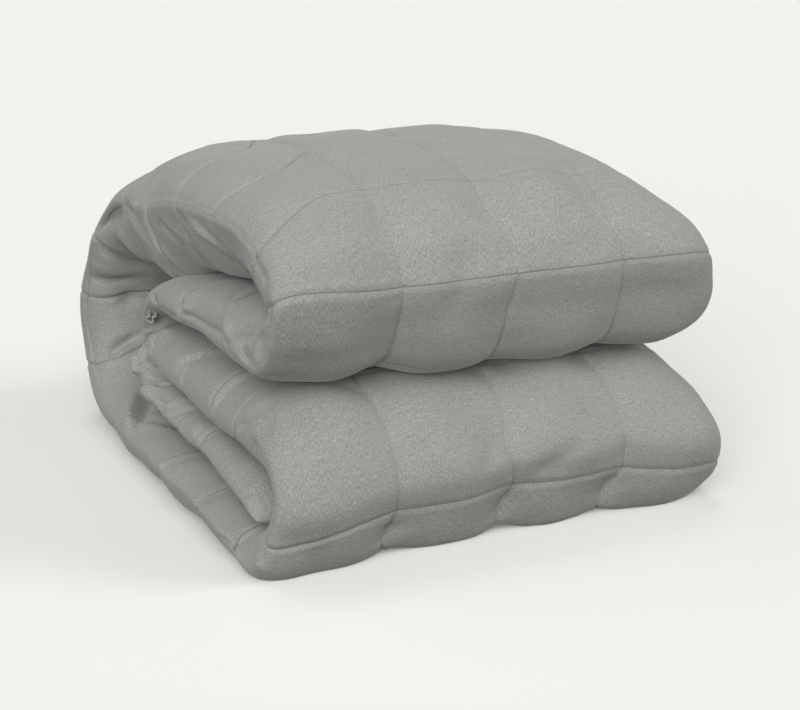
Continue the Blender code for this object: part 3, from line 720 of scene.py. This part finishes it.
# Faces of the loops of points, each a list of corner numbers. Past the first lengthwise seam from
# the left only every second loop is kept, and faces with five corners join the fine and the coarse.
def blanketFaces(shape, across):
    ids = np.arange(shape[0] * shape[1]).reshape(shape)
    turned = np.roll(ids, -1, axis=1)
    fine = across <= 1 - blanket["edgeSeam"] + blanket["almost"]
    fineNext = np.roll(fine, -1)
    kept = np.zeros(shape, bool)
    kept[:, fine] = True
    kept[::2] = True
    fineWalls = np.stack([ids[:-1], turned[:-1], turned[1:], ids[1:]], axis=-1)[:, fine & fineNext]
    wide = np.stack([ids[:-2:2], turned[:-2:2], turned[2::2], ids[2::2]], axis=-1)
    quads = np.concatenate([fineWalls.reshape(-1, 4), wide[:, ~fine & ~fineNext].reshape(-1, 4)])
    first, second, third, fourth = np.moveaxis(wide, -1, 0)
    after = np.stack([first, second, third, fourth, ids[1::2]], axis=-1)[:, fine & ~fineNext]
    before = np.stack([first, second, turned[1::2], third, fourth], axis=-1)[:, ~fine & fineNext]
    joins = np.concatenate([after.reshape(-1, 5), before.reshape(-1, 5)])
    number = np.cumsum(kept.ravel()) - 1
    ends = [number[ids[0, ::-1]].tolist(), number[ids[-1]].tolist()]
    return kept, number[quads], number[joins].tolist() + ends


# The cloth's own width and length at every corner of its faces, in metres
def clothMap(points, around, outside, kept, quads, mesh):
    steps = np.linalg.norm(np.diff(points[:, outside], axis=0), axis=-1).mean(1)
    length = np.concatenate([[0], np.cumsum(steps)])
    grid = np.stack([around, length[:, None] + 0 * around], axis=-1)
    loops = np.empty(len(mesh.loops), np.int64)
    mesh.loops.foreach_get("vertex_index", loops)
    uv = grid[kept][loops]
    # a face across the end of the round takes the full way round at its far side
    closing = around[:, -1] + np.linalg.norm(points[:, -1] - points[:, 0], axis=-1)
    fullWay = (closing[:, None] + 0 * around)[kept][quads]
    corners = uv[: quads.size, 0].reshape(-1, 4)
    beyond = corners < corners[:, :1] - blanket["aroundJump"]
    uv[: quads.size, 0] = np.where(beyond, fullWay, corners).ravel()
    return uv.astype(np.float32).ravel()


# Plain folded cloth, moved along its normals by the quilting's form and then by its relief
def buildBlanket(material):
    along = pathStations()
    across, roundEdge, outside = loopOfPlaces()
    at, place = quiltPlaces(along, across, outside)
    points, home, fold, full = plainCloth(at, place, roundEdge, outside)
    toCross, toLong, toSeam, around = seamDistances(points, along, across, at, roundEdge, outside)
    form = quiltForm(along, across, at, fold, full, outside)
    points = points + gridNormals(points) * form[..., None]
    relief = quiltRelief(points, along, across, at, outside, toCross, toLong, toSeam)
    relief = relief + creaseHeights(home, at)
    points = points + softNormals(points) * relief[..., None]
    points[..., 2] = np.maximum(points[..., 2], 0)  # flat where it lies on the ground

    kept, quads, others = blanketFaces(at.shape, across)
    made = makeObject("quiltedBlanket", points[kept], quads.tolist() + others, material)
    uv = clothMap(points, around, outside, kept, quads, made.data)
    made.data.uv_layers.new(name="cloth").data.foreach_set("uv", uv)
    seamValues = made.data.attributes.new("toSeam", "FLOAT", "POINT").data
    seamValues.foreach_set("value", toSeam[kept].astype(np.float32))
    return made


def plushMaterial():
    material, wire = newMaterial("plushCloth")
    cloth = wire.node("ShaderNodeUVMap", {"uv_map": "cloth"})
    toSeam = wire.node("ShaderNodeAttribute", {"attribute_name": "toSeam"}, output=2)
    fibres = wire.node("ShaderNodeMapping", None, {"Vector": cloth, "Scale": blanket["fibres"]})
    fine = noise(wire, fibres, scale=1.0, detail=2.0)
    mottle = noise(wire, cloth, scale=blanket["mottle"], detail=3.0)
    brushed = noise(wire, cloth, scale=blanket["brushed"], detail=2.0)
    fineShare, mottleShare, brushedShare = blanket["toneShares"]
    tone = fineShare * fine + mottleShare * mottle + brushedShare * brushed
    spread = stretched(wire, tone, *blanket["toneLimits"])
    dark, light, threadAndGrooveShade = (shade(blanket["grey"], blanket[name]) for name in ("dark", "light", "threadAndGrooveShade"))
    # painted shade along each sewn line, darkest on the line: partly the thread's own colour, partly the
    # groove's shade painted in
    fromSeam = stretched(wire, toSeam, *blanket["shadeSeam"], "SMOOTHSTEP")
    color = toneMix(wire, fromSeam, threadAndGrooveShade, toneMix(wire, spread, dark, light))
    groove = stretched(wire, toSeam, *blanket["bumpSeam"], "SMOOTHSTEP")
    fineShare, mottleShare, grooveShare = blanket["bumpShares"]
    height = fineShare * fine + mottleShare * mottle + grooveShare * groove
    bump = wire.node("ShaderNodeBump", None, {
        "Height": height, "Strength": blanket["bumpStrength"], "Distance": blanket["bumpDistance"],
    })
    finishMaterial(wire, {
        "Base Color": color, "Roughness": blanket["roughness"], "Normal": bump,
        "Sheen Weight": blanket["sheen"], "Sheen Roughness": blanket["sheenRoughness"],
        "Specular IOR Level": blanket["gloss"],
    })
    return material


print("making the blanket")
quiltedBlanket = buildBlanket(plushMaterial())
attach(quiltedBlanket, "root")
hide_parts("blanket")


tapeLoop = {
    "at": -3.55,  # along the path, where it is sewn in
    "width": 0.0102,
    "length": 0.036,  # of the flat tape, round both lobes
    "height": 0.0150,
    "spread": 0.0104,  # across its two lobes
    "thickness": 0.0023,
    "pinch": 0.68,  # how nearly its two legs meet between the lobes
    "pinchAt": 1.5,  # the pinch's middle and width, in radians of half a turn up a leg
    "pinchWide": 0.34,
    "bulge": 0.55,  # under 1, the legs stand out more than a circle's
    "slant": 0.15,  # how far each step to the side is also a step up
    "inset": 0.06,  # from the blanket's left edge, in squares
    "buried": 0.0028,  # how far its sewn edge goes into the cloth
    "turn": (0.45, -0.22, 0.95),  # in radians, from a loop that stands square to the blanket's side
    "legSteps": 33,
    "sectionSteps": 24,
    "sideSquare": 0.25,  # how square the tape's own section is across its width and its thickness:
    "faceSquare": 0.6,  # 1 is round
    "threads": (900, 1800, 1800),
    "grey": (0.312, 0.312, 0.291),
    "dark": 0.80,
    "light": 1.25,
    "bumpStrength": 0.5,
    "bumpDistance": 0.0003,
    "roughness": 0.85,
    "gloss": 0.25,
}


# A sine or cosine as a place across a rounded rectangle: its sign * |value| ^ square * size / 2
def squared(value, square, size):
    return np.sign(value) * np.abs(value) ** square * size / 2


# A strip of tape bent into two lobes, one over the other, with its axis across the blanket. Up a leg
# the loop is sin ^ bulge wide, pinched by a soft bump in the middle, and -cos high.
def buildLoop(material):
    fold = {name: column[0] for name, column in alongPath(np.array([tapeLoop["at"]])).items()}
    inside = 1 - tapeLoop["inset"] / fold["left"]
    outness = (1 + math.sqrt(1 - inside ** fold["crownLeft"])) / 2
    root = blanket["square"] * np.array([
        -inside * fold["left"] - blanket["middle"][0],
        fold["inY"] + (fold["outY"] - fold["inY"]) * outness - blanket["middle"][1],
        fold["inZ"] + (fold["outZ"] - fold["inZ"]) * outness,
    ])
    spin = np.array(mathutils.Euler(tapeLoop["turn"]).to_matrix())
    root = root - spin[:, 0] * (tapeLoop["width"] / 2 - tapeLoop["buried"])

    turn = np.linspace(0, np.pi, tapeLoop["legSteps"])
    waist = 1 - tapeLoop["pinch"] * bell(turn - tapeLoop["pinchAt"], tapeLoop["pinchWide"])
    leg = (tapeLoop["spread"] - tapeLoop["thickness"]) / 2
    side = leg * np.abs(np.sin(turn)) ** tapeLoop["bulge"] * waist
    rise = -(tapeLoop["height"] - tapeLoop["thickness"]) / 2 * np.cos(turn)
    closed = np.concatenate([np.stack([side, rise], 1), np.stack([-side, rise], 1)[-2:0:-1]])
    closed[:, 1] += tapeLoop["slant"] * closed[:, 0]
    ahead = np.roll(closed, -1, axis=0) - np.roll(closed, 1, axis=0)
    outward = np.stack([ahead[:, 1], -ahead[:, 0]], 1) / np.hypot(*ahead.T)[:, None]

    corner = np.linspace(0, 2 * np.pi, tapeLoop["sectionSteps"], endpoint=False)
    across = squared(np.cos(corner), tapeLoop["sideSquare"], tapeLoop["width"])
    through = squared(np.sin(corner), tapeLoop["faceSquare"], tapeLoop["thickness"])
    flat = closed[None] + through[:, None, None] * outward[None]
    points = np.concatenate([np.broadcast_to(across[:, None, None], (*flat.shape[:2], 1)), flat], axis=-1)
    points = points @ spin.T + root

    ids = np.arange(points.shape[0] * points.shape[1]).reshape(points.shape[:2])
    beside, after = np.roll(ids, -1, axis=1), np.roll(ids, -1, axis=0)
    faces = np.stack([ids, beside, np.roll(beside, -1, axis=0), after], axis=-1).reshape(-1, 4)
    return makeObject("tapeLoop", points.reshape(-1, 3), faces.tolist(), material)


def tapeMaterial():
    material, wire = newMaterial("tapeWeave")
    place = wire.node("ShaderNodeTexCoord", output=3)
    threads = wire.node("ShaderNodeMapping", None, {"Vector": place, "Scale": tapeLoop["threads"]})
    weave = noise(wire, threads, scale=1.0, detail=1.0)
    dark, light = (shade(tapeLoop["grey"], tapeLoop[name]) for name in ("dark", "light"))
    bump = wire.node("ShaderNodeBump", None, {
        "Height": weave, "Strength": tapeLoop["bumpStrength"], "Distance": tapeLoop["bumpDistance"],
    })
    finishMaterial(wire, {
        "Base Color": toneMix(wire, weave, dark, light), "Roughness": tapeLoop["roughness"],
        "Normal": bump, "Specular IOR Level": tapeLoop["gloss"],
    })
    return material


print("making the tape loop")
loopOfTape = buildLoop(tapeMaterial())
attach(loopOfTape, "root")
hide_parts("corner_loop")


studio = {
    "floorSize": 60.0,
    "floorDrop": 0.0004,
    "floorColor": (0.872, 0.865, 0.840),
    "floorGlow": (0.117, 0.116, 0.111),
    "floorRoughness": 0.9,
    "skyColor": (0.895, 0.888, 0.862),
    "cameraPlace": (-0.67865, -1.41483, 0.55506),
    "cameraTilt": 73.6,  # degrees up from straight down
    "cameraTurn": -26.7,  # degrees about the vertical, from a look along +Y
    "lensLength": 78.75,
    "sensorWidth": 36,
}

# Soft distant lamps: the side that each shines from (0 is the front, 90 the right), its height above
# the ground and how much of the sky it fills, all in degrees, and its power
lampRows = (
    ("frontKey", -35, 32, 50, 1.75),
    ("lowFront", -35, 10, 50, 1.40),
    ("lowLeft", -70, 10, 50, 0.30),
    ("right", 60, 27, 30, 1.10),
    ("overhead", 0, 88, 90, 0.50),
    ("topBack", 165, 77, 14, 0.30),
    ("backLeft", -140, 40, 50, 0.35),
)


# Rotation of what looks down its own -Z: tilted up from straight down, then turned about the vertical
def aimed(tilt, turn):
    return math.radians(tilt), 0, math.radians(turn)


# The floor takes the lamps' shadows but throws no light back onto the blanket
def buildFloor():
    material, wire = newMaterial("paleFloor")
    finishMaterial(wire, {
        "Base Color": shade(studio["floorColor"], 1), "Roughness": studio["floorRoughness"],
        "Specular IOR Level": 0.0, "Emission Color": shade(studio["floorGlow"], 1),
        "Emission Strength": 1.0,
    })
    side = studio["floorSize"] / 2
    corners = np.array([[-side, -side, 0], [side, -side, 0], [side, side, 0], [-side, side, 0]])
    floor = makeObject("floor", corners - [0, 0, studio["floorDrop"]], [[0, 1, 2, 3]], material)
    floor.visible_diffuse = False


# A plain pale background past the floor, which gives the blanket no light
def buildSky():
    sky = bpy.context.scene.world = bpy.data.worlds.new("sky")
    sky.use_nodes = True
    sky.node_tree.nodes["Background"].inputs["Color"].default_value = shade(studio["skyColor"], 1)
    for rays in ("diffuse", "glossy", "transmission"):
        setattr(sky.cycles_visibility, rays, False)


def addLamp(name, side, height, softness, power):
    lamp = bpy.data.lights.new(name, "SUN")
    lamp.energy, lamp.angle = power, math.radians(softness)
    addToScene(name, lamp).rotation_euler = aimed(90 - height, side)


def buildCamera():
    lens = bpy.data.cameras.new("camera")
    lens.lens, lens.sensor_width = studio["lensLength"], studio["sensorWidth"]
    camera = addToScene("camera", lens)
    camera.location = studio["cameraPlace"]
    camera.rotation_euler = aimed(studio["cameraTilt"], studio["cameraTurn"])
    bpy.context.scene.camera = camera


print("floor, lights and camera")
buildFloor()
buildSky()
for row in lampRows:
    addLamp(*row)
buildCamera()
bpy.context.scene.view_settings.view_transform = "Standard"
